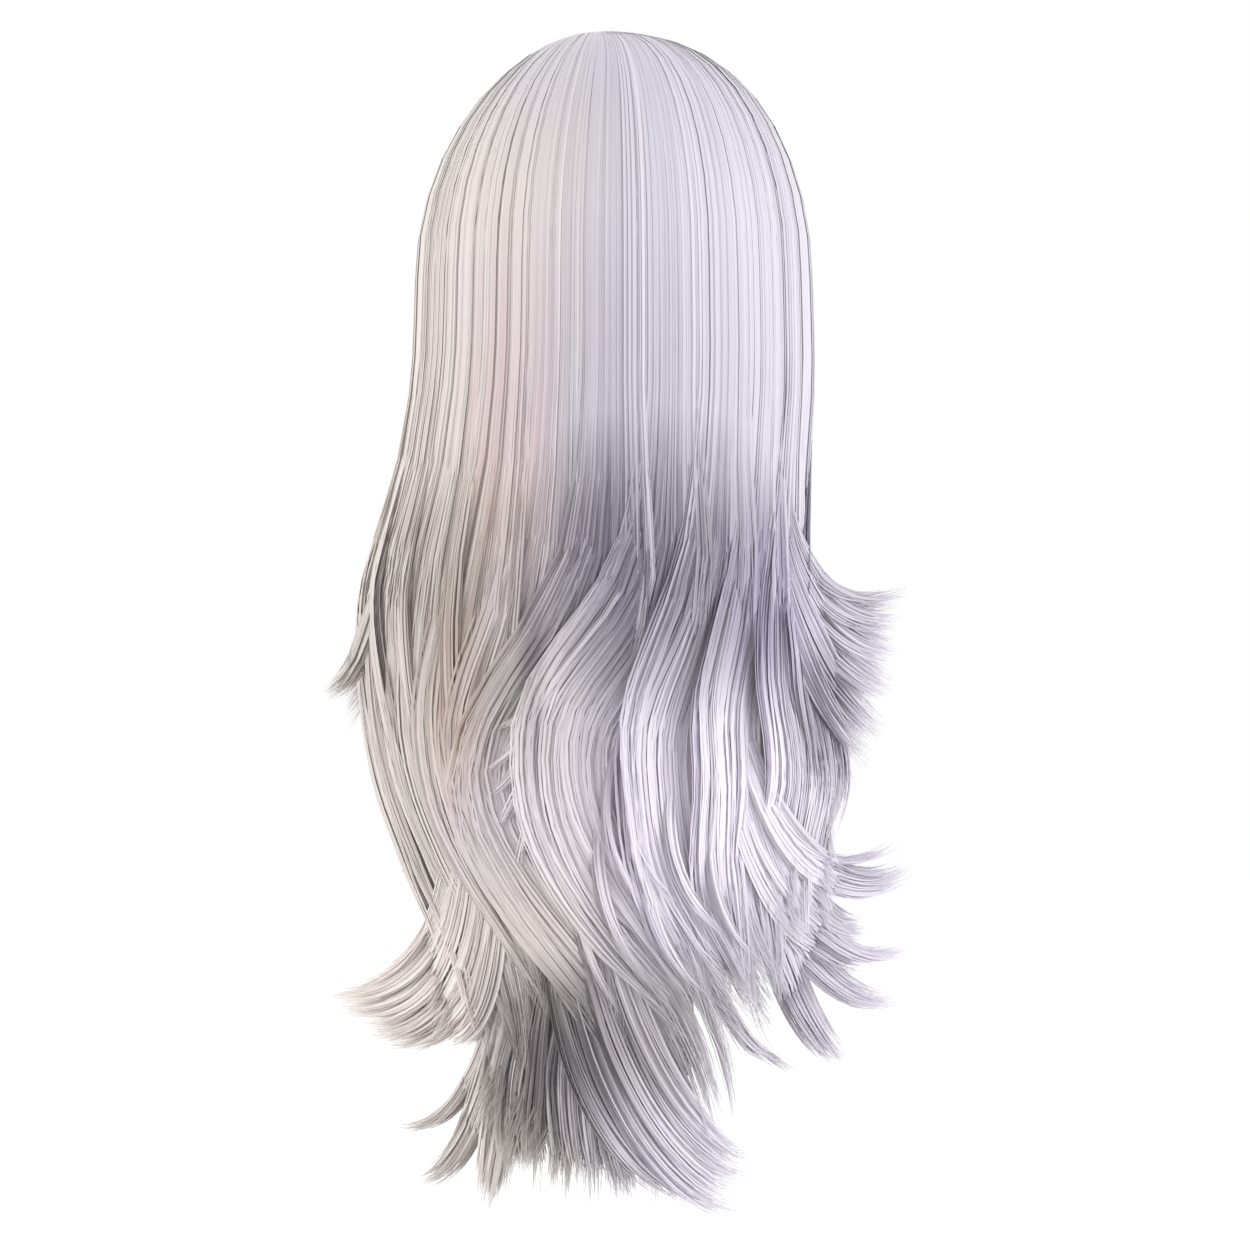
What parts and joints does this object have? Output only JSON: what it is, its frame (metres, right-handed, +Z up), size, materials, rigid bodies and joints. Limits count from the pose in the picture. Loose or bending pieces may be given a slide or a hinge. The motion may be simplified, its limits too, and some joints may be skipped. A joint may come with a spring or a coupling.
{
  "type": "long wig",
  "caption": "Long pale wig: a hollow stretch cap with an elastic rim, carrying a parted top layer and shorter hanging rows of hair with flicked ends.",
  "frame": {"origin": "the inside of the cap at the top of the head, where the cap sits on its wearer", "axes": "+Z is up, +Y is the way the wearer faces, +X is the wearer's right"},
  "size_m": [0.29, 0.2147, 0.5721],
  "materials": {
    "top_fibre": "fine straight synthetic fibre, silver white with lilac and beige strands, soft gloss",
    "under_fibre": "the same synthetic fibre, a little greyer under the top layer",
    "cap_net": "fine stretch net, matt",
    "elastic": "ribbed woven elastic, matt",
    "parting_skin": "thin pale gauze, matt"
  },
  "bodies": {
    "root": {"cap": "cap_net", "rim_elastic": "elastic", "parting_base": "parting_skin", "top_hair": "top_fibre", "middle_hair": "under_fibre", "nape_hair": "under_fibre", "right_side_hair": "under_fibre", "left_side_hair": "under_fibre"}
  },
  "joints": []
}
